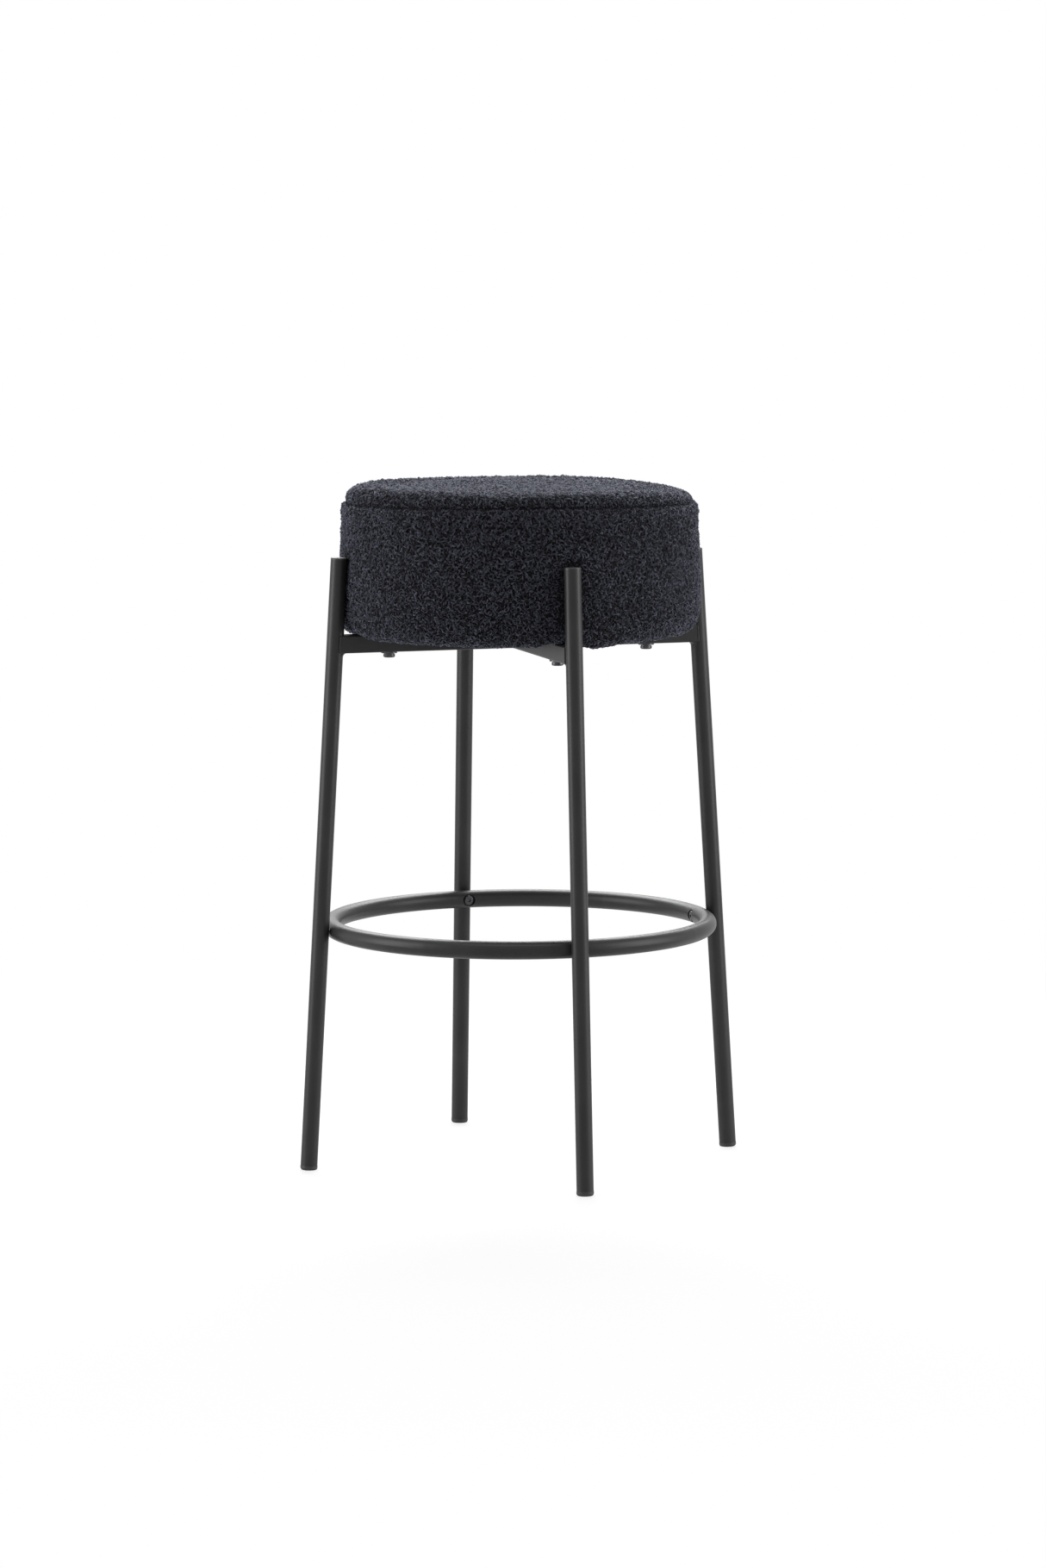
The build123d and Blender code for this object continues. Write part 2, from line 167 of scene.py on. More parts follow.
bead_tree, bead_sockets, given = start_tree("weld_bead", bead_sizes)
line = add_node(bead_tree, "GeometryNodeMeshToCurve", {"Mesh": given["Geometry"]})
line = add_node(bead_tree, "GeometryNodeResampleCurve", {
    "Curve": line.outputs["Curve"], "Length": given["Point Spacing"]}, mode="LENGTH")
along = add_node(bead_tree, "GeometryNodeSplineParameter")
turns = add_node(bead_tree, "ShaderNodeMath", {
    0: along.outputs["Length"], 1: given["Ripple Pitch"]}, operation="DIVIDE")
turns = add_node(bead_tree, "ShaderNodeMath", {0: turns.outputs[0], 1: math.tau}, operation="MULTIPLY")
wave = add_node(bead_tree, "ShaderNodeMath", {0: turns.outputs[0]}, operation="SINE")
ends = add_node(bead_tree, "ShaderNodeFloatCurve", {"Value": along.outputs["Factor"]})
for place_along in (taper_share, 1 - taper_share):
    ends.mapping.curves[0].points.new(place_along, 1.0)
ends.mapping.curves[0].points[0].location = (0.0, tip_fullness)
ends.mapping.curves[0].points[-1].location = (1.0, tip_fullness)
ends.mapping.update()
swell = add_node(bead_tree, "ShaderNodeMath", {
    0: wave.outputs[0], 1: given["Ripple"], 2: given["Bead Radius"]}, operation="MULTIPLY_ADD")
swell = add_node(bead_tree, "ShaderNodeMath", {
    0: swell.outputs[0], 1: ends.outputs["Value"]}, operation="MULTIPLY")
section = add_node(bead_tree, "GeometryNodeCurvePrimitiveCircle", {"Resolution": bead_sides, "Radius": 1.0})
bead = add_node(bead_tree, "GeometryNodeCurveToMesh", {
    "Curve": line.outputs["Curve"], "Fill Caps": True, "Profile Curve": section.outputs["Curve"],
    "Scale": swell.outputs[0]})
bead = add_node(bead_tree, "GeometryNodeSetShadeSmooth", {"Geometry": bead.outputs["Mesh"]})
bead = add_node(bead_tree, "GeometryNodeRealizeInstances", {"Geometry": bead.outputs["Geometry"]})
bead = add_node(bead_tree, "GeometryNodeSetMaterial", {
    "Geometry": bead.outputs["Geometry"], "Material": powder_coat})
add_node(bead_tree, "NodeGroupOutput", {"Geometry": bead.outputs["Geometry"]})

bar_low, bar_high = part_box("cross_bar_left_right")
weld_aside = bar_high.y - weld_sunk
weld_ends = []
for turn in range(4):
    outward = Vector((round(math.cos(turn * math.pi / 2)), round(math.sin(turn * math.pi / 2)), 0))
    sideways = Vector((-outward.y, outward.x, 0))
    for hand in (-1, 1):
        for height in (bar_low.z + weld_short, bar_high.z - weld_short):
            reach = leg_floor_radius - leg_slope * height - weld_behind_axis
            weld_ends.append(outward * reach + sideways * hand * weld_aside + Vector((0, 0, height)))
weld_lines = bpy.data.meshes.new("weld_lines")
weld_lines.from_pydata(weld_ends, [(k, k + 1) for k in range(0, len(weld_ends), 2)], [])
side_welds = grow("bar_side_welds", weld_lines, bead_tree, bead_sockets, bead_sizes)
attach(side_welds, "root")


# Caps and glides: black polyethylene, injection moulded, finned plugs pressed into the tube's ends. The caps
# close the legs beside the cushion and the glides stand on the floor.
# Moulded polyethylene has a waxy, slightly uneven sheen from the mould's spark-eroded texture.
moulded, tree, shader, place = start_material("polyethylene_black_moulded", IOR=1.51, Specular_IOR_Level=0.4)
spark_mm, wax_mm = 0.35, 5.0
spark = add_node(tree, "ShaderNodeTexVoronoi", {"Vector": place, "Scale": 1000 / spark_mm})
waxy = add_node(tree, "ShaderNodeTexNoise", {"Vector": place, "Scale": 1000 / wax_mm, "Detail": 2.0})
add_node(tree, "ShaderNodeValToRGB", {"Fac": waxy.outputs["Fac"]},
         stops=((0.0, "#1d1d1e"), (1.0, "#2a2a2b")), into=shader.inputs["Base Color"])
add_node(tree, "ShaderNodeMapRange", {
    "Value": waxy.outputs["Fac"], "To Min": 0.36, "To Max": 0.5}, into=shader.inputs["Roughness"])
add_node(tree, "ShaderNodeBump", {
    "Height": spark.outputs["Distance"], "Strength": 0.2, "Distance": 0.0001}, into=shader.inputs["Normal"])
dress(moulded, *[f"{end}_{side}" for end in ("leg_cap", "foot_glide") for side in sides])


# Screws of the ring, bolts of the seat and their washers: steel, cold headed or stamped, black oxided, and
# tightened with a hexagon key.
# Black oxide on steel is a thin dark conversion layer, so it keeps a satin metal gleam that varies a little.
black_oxide, tree, shader, place = start_material("black_oxide_steel", Metallic=1.0)
swirl_mm = 0.9
swirl = add_node(tree, "ShaderNodeTexNoise", {"Vector": place, "Scale": 1000 / swirl_mm, "Detail": 4.0})
add_node(tree, "ShaderNodeValToRGB", {"Fac": swirl.outputs["Fac"]},
         stops=((0.35, "#2a2a2c"), (0.75, "#626266")), into=shader.inputs["Base Color"])
add_node(tree, "ShaderNodeMapRange", {
    "Value": swirl.outputs["Fac"], "To Min": 0.24, "To Max": 0.42}, into=shader.inputs["Roughness"])
add_node(tree, "ShaderNodeBump", {
    "Height": swirl.outputs["Fac"], "Strength": 0.15, "Distance": 0.0001}, into=shader.inputs["Normal"])
dress(black_oxide, "footrest_screws", "seat_bolts", "seat_bolt_washers", "seat_bolt_spring_washers")


# Threaded inserts in the legs and tee nuts in the seat board: turned and pressed steel, zinc plated. The
# inserts are pressed into the legs' holes, and the tee nuts are hammered into the board from above.
# Bright zinc has a cool grey spangle that varies over a few millimetres.
zinc, tree, shader, place = start_material("zinc_plated_steel", Metallic=1.0)
spangle_mm = 2.0
spangle = add_node(tree, "ShaderNodeTexVoronoi", {"Vector": place, "Scale": 1000 / spangle_mm})
add_node(tree, "ShaderNodeValToRGB", {"Fac": spangle.outputs["Color"]},
         stops=((0.0, "#a9adb0"), (1.0, "#c8cbcc")), into=shader.inputs["Base Color"])
add_node(tree, "ShaderNodeMapRange", {
    "Value": spangle.outputs["Distance"], "To Min": 0.28, "To Max": 0.45}, into=shader.inputs["Roughness"])
dress(zinc, "leg_thread_inserts", "seat_tee_nuts")


# Seat board: a 12 mm disc of birch plywood, sawn round and bored for the tee nuts. It lies on the cross and
# is bolted to it from below.
# Rotary-cut birch shows pale figure on its faces and alternating plies on its edge.
plywood, tree, shader, place = start_material("birch_plywood", Roughness=0.62, IOR=1.5)
ply_mm = 1.7
figure_per_m = (12.0, 160.0, 600.0)
split = add_node(tree, "ShaderNodeSeparateXYZ", {"Vector": place})
plies = add_node(tree, "ShaderNodeMath", {
    0: split.outputs["Z"], 1: 1000 / ply_mm * math.pi}, operation="MULTIPLY")
wave = add_node(tree, "ShaderNodeMath", {0: plies.outputs["Value"]}, operation="SINE")
stretch = add_node(tree, "ShaderNodeMapping", {"Vector": place, "Scale": figure_per_m})
figure = add_node(tree, "ShaderNodeTexNoise", {
    "Vector": stretch.outputs["Vector"], "Scale": 1.0, "Detail": 4.0})
ply_tone = add_node(tree, "ShaderNodeMapRange", {
    "Value": wave.outputs["Value"], "From Min": -0.3, "From Max": 0.3, "To Min": 0.25, "To Max": 0.6})
mixed = add_node(tree, "ShaderNodeMath", {
    0: ply_tone.outputs["Result"], 1: figure.outputs["Fac"]}, operation="MULTIPLY")
add_node(tree, "ShaderNodeValToRGB", {"Fac": mixed.outputs["Value"]},
         stops=((0.0, "#b08a5c"), (0.5, "#e2c79c")), into=shader.inputs["Base Color"])
dress(plywood, "seat_board")


# Cushion's form: a round foam pad, 161 mm high and 405 mm across, with a low crown, a sewn edge near the top
# and a softly rolled lower edge that hangs between the bars. The legs press its side in. Cover and foam both
# start from this form.
base_height = 0.600
crown_height = 0.761
crown_edge = (0.172, 0.7586)
seam = (0.1935, 0.746)
shoulder = (0.1998, 0.734)
base_corner = (0.202, base_height)
side_swell = 0.0016
lower_edge_radius = 0.021
hem_edge = 0.156
leg_radius = 0.0095
edge_sag, sag_from_bar = 0.0042, (0.012, 0.034)
sag_radii, sag_heights = (0.160, 0.180), (0.640, 0.606)
bulge_sag, bulge_from_bar = 0.0042, (0.0105, 0.018)
bulge_turn, bulge_width = -82, 8
roll_points, side_points, shoulder_points = 40, 60, 20
crown_points, rim_points = 60, 30
columns, band_rows, crowding = 256, 44, 1.35


def ramp(value, start, end):
    """A smooth step from 0 at the start to 1 at the end."""
    share = np.clip((value - start) / (end - start), 0, 1)
    return share * share * (3 - 2 * share)


def side_radius(height):
    """Radius of the cushion's side at a height below the shoulder."""
    t = (shoulder[1] - height) / (shoulder[1] - base_corner[1])
    return shoulder[0] + (base_corner[0] - shoulder[0]) * t + 4 * side_swell * t * (1 - t)


def band_profile():
    """Points (radius, height) from the hem's edge out, round the lower edge and up to the seam."""
    roll_height = base_height + lower_edge_radius
    roll_middle = side_radius(roll_height) - lower_edge_radius
    points = [(hem_edge, base_height)]
    for angle in np.linspace(-math.pi / 2, 0, roll_points):
        points.append((roll_middle + lower_edge_radius * math.cos(angle),
                       roll_height + lower_edge_radius * math.sin(angle)))
    for height in np.linspace(roll_height, shoulder[1], side_points)[1:]:
        points.append((side_radius(height), height))
    run, rise = shoulder[0] - seam[0], seam[1] - shoulder[1]
    arc_radius = (run**2 + rise**2) / (2 * run)
    for angle in np.linspace(0, math.asin(rise / arc_radius), shoulder_points)[1:]:
        points.append((shoulder[0] - arc_radius + arc_radius * math.cos(angle),
                       shoulder[1] + arc_radius * math.sin(angle)))
    return np.array(points)


def crown_profile():
    """Points (radius, height) from the middle of the crown out to the seam."""
    drop = crown_height - crown_edge[1]
    crown_arc = (crown_edge[0]**2 + drop**2) / (2 * drop)
    points = [(r, crown_height - crown_arc + math.sqrt(crown_arc**2 - r**2))
              for r in np.linspace(0, crown_edge[0], crown_points)]
    run, fall = seam[0] - crown_edge[0], crown_edge[1] - seam[1]
    roll_arc = (run**2 + fall**2) / (2 * fall)
    for r in crown_edge[0] + roll_arc * np.sin(np.linspace(0, math.asin(run / roll_arc), rim_points)[1:]):
        points.append((r, crown_edge[1] - roll_arc + math.sqrt(roll_arc**2 - (r - crown_edge[0])**2)))
    return np.array(points)


def inset_line(points, inset):
    """The profile moved inwards by one inset or by one for each point. Its outside is on the right of its
    run."""
    run = np.gradient(points, axis=0)
    run /= np.linalg.norm(run, axis=1)[:, None]
    return points - np.reshape(inset, (-1, 1)) * np.stack([run[:, 1], -run[:, 0]], axis=1)


def at_runs(points, share):
    """Points at these shares of the profile's length."""
    run = np.concatenate([[0], np.cumsum(np.linalg.norm(np.diff(points, axis=0), axis=1))])
    return np.stack([np.interp(share * run[-1], run, points[:, k]) for k in (0, 1)], axis=-1)


def cushion_mesh(crown_inset, band_inset):
    """The cushion's skin, with rows that crowd towards the seam: its points, the quads of its top panel and
    of its band, the points on the seam, and how far each point is from the seam."""
    cells = columns // 4
    step = np.linspace(-1, 1, cells + 1)
    across, along = np.meshgrid(step, step, indexing="ij")
    wide = np.abs(across) >= np.abs(along)
    reach = np.where(wide, across, along)
    safe = np.where(reach == 0, 1, reach)
    turn = np.where(wide, math.pi / 4 * along / safe, math.pi / 2 - math.pi / 4 * across / safe)
    crown = inset_line(crown_profile()[::-1], crown_inset)[::-1]
    crown[0, 0] = 0
    profile = inset_line(band_profile(), band_inset)
    crown[-1] = profile[-1] = (crown[-1] + profile[-1]) / 2
    crown_share = 1 - (1 - np.abs(reach)) ** crowding
    ring = at_runs(crown, crown_share)
    signed = np.where(reach < 0, -1, 1) * ring[..., 0]
    top = np.stack([signed * np.cos(turn), signed * np.sin(turn), ring[..., 1]], axis=-1).reshape(-1, 3)
    index = np.arange(len(top)).reshape(cells + 1, cells + 1)
    corners = [index[:-1, :-1], index[1:, :-1], index[1:, 1:], index[:-1, 1:]]
    quads = [np.stack(corners, axis=-1).reshape(-1, 4)]
    rim = np.unique(np.concatenate([index[0], index[-1], index[:, 0], index[:, -1]]))
    angle = np.arctan2(top[rim, 1], top[rim, 0]) % math.tau
    seam_row = rim[np.argsort(np.round(angle / math.tau * columns).astype(int) % columns)]
    band_share = np.linspace(0, 1, band_rows + 1)[1:] ** crowding
    line = at_runs(profile, 1 - band_share)
    column_angle = np.arange(columns) / columns * math.tau
    ring_points = np.stack([line[:, None, 0] * np.cos(column_angle),
                            line[:, None, 0] * np.sin(column_angle),
                            np.repeat(line[:, 1:], columns, axis=1)], axis=-1)
    band_index = len(top) + np.arange(band_rows * columns).reshape(band_rows, columns)
    band_index = np.concatenate([seam_row[None], band_index])
    after = np.roll(band_index, -1, axis=1)
    corners = [band_index[:-1], band_index[1:], after[1:], after[:-1]]
    quads.append(np.stack(corners, axis=-1).reshape(-1, 4))
    crown_length, band_length = [np.linalg.norm(np.diff(p, axis=0), axis=1).sum() for p in (crown, profile)]
    from_seam = np.concatenate([crown_length * (1 - crown_share).ravel(),
                                np.repeat(band_length * band_share, columns)])
    return np.concatenate([top, ring_points.reshape(-1, 3)]), quads, seam_row, from_seam


def hang(points):
    """Points of the padded lower edge let down a little between the bars, and more at its bulge beside the
    front leg."""
    radius = np.hypot(points[:, 0], points[:, 1])
    from_bar = np.abs(points[:, :2]).min(axis=1)
    from_bulge = np.degrees(np.arctan2(points[:, 1], points[:, 0])) - bulge_turn
    low = ramp(radius, *sag_radii) * ramp(points[:, 2], *sag_heights)
    points = points.copy()
    points[:, 2] -= edge_sag * ramp(from_bar, *sag_from_bar) * low
    bulge = np.exp(-(from_bulge / bulge_width) ** 2)
    points[:, 2] -= bulge_sag * ramp(from_bar, *bulge_from_bar) * bulge * low
    return points


def press_in(points, clearance, reach=0.0115, fade=0.012):
    """Points of the cushion's side moved in where the legs press on it. Returns them and how much each
    gave."""
    points = points.copy()
    pressed = np.zeros(len(points))
    for turn in range(4):
        outward = np.array([math.cos(turn * math.pi / 2), math.sin(turn * math.pi / 2), 0])
        sideways = np.array([-outward[1], outward[0], 0])
        out, aside, height = points @ outward, points @ sideways, points[:, 2]
        limit = leg_floor_radius - leg_slope * height - leg_radius - clearance
        depth = np.clip(out + aside**2 / (2 * base_corner[0]) - limit, 0, None) * (out > 0)
        share = np.exp(-(aside / reach)**2) * (1 - ramp(height, leg_top, leg_top + fade))
        points -= (depth * share)[:, None] * outward
        pressed = np.maximum(pressed, share * (depth > 0))
    return points, pressed


# Seat foam: one block of moulded polyurethane foam, glued over the board so that it laps the board's edge.
# It fills the cover tightly and gives way where the legs press on it.
# Open-cell foam shows fine pores under a matt, slightly yellow skin.
foam, tree, shader, place = start_material("polyurethane_foam", Roughness=0.95, Specular_IOR_Level=0.2)
pore_mm = 1.1
pores = add_node(tree, "ShaderNodeTexVoronoi", {"Vector": place, "Scale": 1000 / pore_mm})
add_node(tree, "ShaderNodeValToRGB", {"Fac": pores.outputs["Distance"]},
         stops=((0.0, "#c9bd97"), (1.0, "#ece5cd")), into=shader.inputs["Base Color"])
add_node(tree, "ShaderNodeBump", {
    "Height": pores.outputs["Distance"], "Strength": 0.5, "Distance": 0.0006}, into=shader.inputs["Normal"])


def new_piece(name, points, faces, material):
    """A mesh object at the origin, with its place in its mesh."""
    mesh = bpy.data.meshes.new(name)
    mesh.from_pydata([tuple(p) for p in points], [], [tuple(int(i) for i in f) for f in faces])
    mesh.materials.append(material)
    mesh.shade_smooth()
    mesh.update()
    return new_object(name, mesh)


board_low, board_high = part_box("seat_board")
foam_inset = 0.0075
glue_gap = 0.0002
points, quads = cushion_mesh(foam_inset, foam_inset)[:2]
points = press_in(hang(points), foam_inset)[0]
column_angle = np.arange(columns) / columns * math.tau
board_edge = board_high.x + glue_gap
board_line = np.stack([board_edge * np.cos(column_angle), board_edge * np.sin(column_angle),
                       np.full(columns, board_low.z)], axis=-1)
points[-columns:] = board_line
board_line[:, 2] = board_high.z + glue_gap
low_edge = np.arange(len(points) - columns, len(points))
high_edge = low_edge + columns
points = np.concatenate([points, board_line])
faces = [tuple(quad) for quad in np.concatenate(quads)]
faces += list(zip(low_edge, high_edge, np.roll(high_edge, -1), np.roll(low_edge, -1)))
faces.append(tuple(high_edge))
foam_block = new_piece("foam_block", points, faces, foam)
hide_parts("seat_foam")
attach(foam_block, "root")


# Cover, ground cloth: knitted boucle upholstery in two cut pieces, a round top panel and a long side band,
# sewn face to face near the top edge and pulled down over the foam, so the seam lies in a shallow groove.
# The knitted ground is dull and dark, and coloured darker than the yarn, almost black, as painted shade in
# the gaps between the loops of its pile; the hollows between its nubs are painted darker still as shade.
ground_cloth, tree, shader, place = start_material("boucle_ground_knit_painted_shade", Roughness=0.95,
                                                   Specular_IOR_Level=0.15)
nub_mm = 2.4
nubs = add_node(tree, "ShaderNodeTexVoronoi", {"Vector": place, "Scale": 1000 / nub_mm})
# Painted shade: dark at the ground's nubs, almost black in the hollows between them.
add_node(tree, "ShaderNodeValToRGB", {"Fac": nubs.outputs["Distance"]},
         stops=((0.0, "#16161a"), (1.0, "#0b0b0d")), into=shader.inputs["Base Color"])
add_node(tree, "ShaderNodeBump", {
    "Height": nubs.outputs["Distance"], "Strength": 0.9, "Distance": 0.0012}, invert=True,
    into=shader.inputs["Normal"])

# The skin starts inside its form by the swell to come, and a little proud of it beside the seam.
cloth_inset, cloth_thickness = 0.0024, 0.0012
most_swell, swell_from_seam = 0.0020, 0.02
crown_start = (0.145, 0.172, 0.185), (most_swell, -0.0004, -0.0022)
band_start = (0.604, 0.630, 0.722, 0.742), (0.0, most_swell, most_swell, -0.0006)
seam_hold, hem_rows, cloth_steps = 0.5, 3, 20
points, quads, seam_row, from_seam = cushion_mesh(
    cloth_inset + np.interp(crown_profile()[::-1, 0], *crown_start),
    cloth_inset + np.interp(band_profile()[:, 1], *band_start))
skin = new_piece("cover_skin", points, np.concatenate(quads), ground_cloth)
normals = np.zeros(len(points) * 3)
skin.data.vertices.foreach_get("normal", normals)
normals = normals.reshape(-1, 3)
held = skin.vertex_groups.new(name="held")
held.add(range(len(points) - hem_rows * columns, len(points)), 1.0, "ADD")
held.add([int(k) for k in seam_row], seam_hold, "ADD")
cloth = skin.modifiers.new("Cloth", "CLOTH")
for setting, value in {"quality": 6, "mass": 0.3, "tension_stiffness": 0.5, "compression_stiffness": 0.5,
                       "shear_stiffness": 0.2, "bending_stiffness": 0.3, "vertex_group_mass": "held",
                       "pin_stiffness": 1.0, "use_pressure": True, "uniform_pressure_force": 4.0}.items():
    setattr(cloth.settings, setting, value)
cloth.settings.effector_weights.gravity = 0.0
cloth.point_cache.frame_start, cloth.point_cache.frame_end = 1, cloth_steps
for step in range(1, cloth_steps + 1):
    bpy.context.scene.frame_set(step)
evaluated = skin.evaluated_get(bpy.context.evaluated_depsgraph_get())
swelled = np.zeros(len(points) * 3)
evaluated.data.vertices.foreach_get("co", swelled)
swelled = swelled.reshape(-1, 3)
moved = swelled - points
moved -= np.minimum((moved * normals).sum(axis=1), 0)[:, None] * normals
far = np.linalg.norm(moved, axis=1)
swelled = points + moved * np.minimum(1, most_swell / np.maximum(far, 1e-9))[:, None]
bpy.context.scene.frame_set(1)
bpy.data.objects.remove(skin)

# The cover isn't sewn or pulled on quite evenly: its seam wanders, its rim is fuller on the left, its crown
# stands higher in front and lower on the right, and it sits a little off the frame's middle.
seam_groove, seam_reach = 0.0019, 0.0024
in_seam = np.exp(-(from_seam / seam_reach) ** 2)
swelled -= seam_groove * in_seam[:, None] * normals

rim_fullness, rim_turn, rim_radii = 0.0031, math.radians(163), (0.130, 0.178)
rim_below_seam, rim_from_seam, side_power = 0.006, 0.007, 3
fuller_turn = np.arctan2(swelled[:, 1], swelled[:, 0]) - rim_turn
fuller = np.clip(np.cos(fuller_turn), 0, 1) ** side_power
fuller *= ramp(np.hypot(swelled[:, 0], swelled[:, 1]), *rim_radii)
fuller *= (swelled[:, 2] > seam[1] - rim_below_seam) * ramp(from_seam, 0.0, rim_from_seam)
swelled += rim_fullness * fuller[:, None] * normals

front_turn = math.radians(107)
seam_rise, seam_tilt, crown_reach, band_reach = 0.0029, 0.0006, 0.016, 0.030
front_rise, rise_span = 0.0040, (-0.02, 0.16)
right_drop, drop_radii = 0.0046, (0.120, 0.170)
on_crown = np.zeros(len(points), bool)
on_crown[np.unique(quads[0])] = True
radius = np.hypot(swelled[:, 0], swelled[:, 1])
from_front = np.arctan2(swelled[:, 1], swelled[:, 0]) + front_turn
seam_wander = seam_rise * np.cos(2 * from_front) + seam_tilt * np.sin(from_front)
near_seam = 1 - ramp(from_seam, 0.0, np.where(on_crown, crown_reach, band_reach))
forward = radius * np.cos(from_front)
to_right = np.clip(np.sin(from_front), 0, 1) ** side_power * ramp(radius, *drop_radii)
crown_lift = front_rise * ramp(forward, *rise_span) - right_drop * to_right
swelled[:, 2] += seam_wander * near_seam + crown_lift * on_crown * (1 - near_seam)
off_centre, free_heights = np.array([0.0019, -0.0006]), (0.604, 0.630)
swelled[:, :2] += off_centre * ramp(swelled[:, 2:], *free_heights)

pile_flat = 0.0009
leg_flattens, seam_flattens, under_dust_share = 0.62, 0.62, 0.35
dust_reach, hem_depth = 0.172, 0.004
swelled, pressed = press_in(hang(swelled), pile_flat)
pile_share = (1 - leg_flattens * pressed) * (1 - seam_flattens * in_seam)
under_dust_cover = ((swelled[:, 2] < base_height + hem_depth)
                    & (np.hypot(swelled[:, 0], swelled[:, 1]) < dust_reach))
pile_share[under_dust_cover] = under_dust_share
seam_allowance, top_turn, band_turn = 0.004, -0.0012, -0.0030
hem_to_seam = 0.05


def cover_panel(name, node, faces, seam_turn):
    """One cut piece of the cover: subdivided, its edge turned in at the seam, and given the cloth's
    thickness. Returns its outer surface for the pile."""
    used = np.unique(faces)
    renumber = np.zeros(len(swelled), int)
    renumber[used] = np.arange(len(used))
    piece = new_piece(name, swelled[used], renumber[faces], ground_cloth)
    height = piece.data.attributes.new("pile_height", "FLOAT", "POINT")
    height.data.foreach_set("value", pile_share[used].astype(np.float32))
    smooth = piece.modifiers.new("Finer", "SUBSURF")
    smooth.levels = smooth.render_levels = 1
    apply_modifiers(piece)
    surface = piece.data.copy()
    edge_work = bmesh.new()
    edge_work.from_mesh(piece.data)
    seam_edges = [e for e in edge_work.edges if e.is_boundary and e.verts[0].co.z > base_height + hem_to_seam]
    turned = bmesh.ops.extrude_edge_only(edge_work, edges=seam_edges)["geom"]
    for vertex in [g for g in turned if isinstance(g, bmesh.types.BMVert)]:
        inward = Vector((-vertex.co.x, -vertex.co.y, 0)).normalized()
        vertex.co += inward * seam_allowance + Vector((0, 0, seam_turn))
    edge_work.to_mesh(piece.data)
    edge_work.free()
    thick = piece.modifiers.new("Cloth thickness", "SOLIDIFY")
    thick.thickness = cloth_thickness
    thick.offset = -1.0
    apply_modifiers(piece)
    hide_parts(node)
    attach(piece, "root")
    return surface


top_surface = cover_panel("boucle_top_panel", "cover_top_panel", quads[0], top_turn)
band_surface = cover_panel("boucle_side_band", "cover_side_band", quads[1], band_turn)


# Cover, pile: curled loops of a two-ply acrylic and wool boucle yarn, about a millimetre thick, knitted in
# all over the ground cloth. The loops lie flat where a leg or the dust cover presses on them and in the seam.
# The yarn is anthracite with a cool cast, matt, with a soft sheen of stray fibres where light grazes it. Its
# fibres are too fine to show, so their pattern is drawn as coarse as the yarn is thick.
boucle_yarn, tree, shader, place = start_material(
    "boucle_yarn_anthracite", Roughness=0.85, Specular_IOR_Level=0.25, Sheen_Weight=0.31,
    Sheen_Roughness=0.45, Sheen_Tint=linear("#c2c7dc"))
fibre_mm = 1.0
loop_tone = add_node(tree, "ShaderNodeAttribute", attribute_name="yarn_tone")
fibres = add_node(tree, "ShaderNodeTexNoise", {"Vector": place, "Scale": 1000 / fibre_mm, "Detail": 2.0})
mixed = add_node(tree, "ShaderNodeMath", {
    0: loop_tone.outputs["Fac"], 1: fibres.outputs["Fac"]}, operation="MULTIPLY")
add_node(tree, "ShaderNodeValToRGB", {"Fac": mixed.outputs["Value"]},
         stops=((0.0, "#0b0b0d"), (0.6, "#34353f")), into=shader.inputs["Base Color"])
add_node(tree, "ShaderNodeBump", {
    "Height": fibres.outputs["Fac"], "Strength": 0.5, "Distance": 0.0002}, into=shader.inputs["Normal"])

pile_sizes = {"Loop Spacing": 0.00175, "Yarn Thickness": 0.0013, "Loop Size": 0.0029, "Unevenness": 0.0034,
              "Brushed Patch": 0.036}
loop_points, yarn_sides, curve_points, tries_per_loop = 5, 3, 16, 2.0
arch_start, arch_sweep, arch_height = -0.3, 3.74, 0.8
curl_turns, curl_lean, low_share = 1.1, (0.9, 0.2, 0), 0.3
lying_lean, lying_width = 1.0, 1.15
loose_lean, brushed_lean = 0.5, (2.4, 2.4, 0.0)
smallest_loop, largest_loop = 0.7, 1.45
darkest_loop, lightest_loop, patch_share = -1.3, 0.8, 1.8
uneven_mm = 4.5
middle_grey = (0.5, 0.5, 0.5)
pile_tree, pile_sockets, given = start_tree("boucle_pile", pile_sizes, seeded=True)
density = add_node(pile_tree, "ShaderNodeMath", {0: 1.0, 1: given["Loop Spacing"]}, operation="DIVIDE")
density = add_node(pile_tree, "ShaderNodeMath", {0: density.outputs[0], 1: 2.0}, operation="POWER")
density = add_node(pile_tree, "ShaderNodeMath", {
    0: density.outputs[0], 1: tries_per_loop}, operation="MULTIPLY")
roots = add_node(pile_tree, "GeometryNodeDistributePointsOnFaces", {
    "Mesh": given["Geometry"], "Distance Min": given["Loop Spacing"], "Density Max": density.outputs[0],
    "Seed": given["Seed"]}, distribute_method="POISSON")
half_loop = add_node(pile_tree, "ShaderNodeMath", {0: given["Loop Size"], 1: 0.5}, operation="MULTIPLY")
low_loop = add_node(pile_tree, "ShaderNodeMath", {0: given["Loop Size"], 1: low_share}, operation="MULTIPLY")
arch = add_node(pile_tree, "GeometryNodeCurveArc", {
    "Radius": half_loop.outputs[0], "Start Angle": arch_start, "Sweep Angle": arch_sweep,
    "Resolution": curve_points}, mode="RADIUS")
arch = add_node(pile_tree, "GeometryNodeTransform", {
    "Geometry": arch.outputs["Curve"], "Rotation": (math.pi / 2, 0, 0), "Scale": (1.0, 1.0, arch_height)})
curl = add_node(pile_tree, "GeometryNodeCurveSpiral", {
    "Resolution": curve_points, "Rotations": curl_turns, "Start Radius": half_loop.outputs[0],
    "End Radius": low_loop.outputs[0], "Height": low_loop.outputs[0]})
leaning = add_node(pile_tree, "GeometryNodeTransform", {
    "Geometry": curl.outputs["Curve"], "Rotation": curl_lean})
lying = add_node(pile_tree, "GeometryNodeTransform", {
    "Geometry": arch.outputs["Geometry"], "Rotation": (lying_lean, 0, 0), "Scale": (lying_width, 1.0, 1.0)})
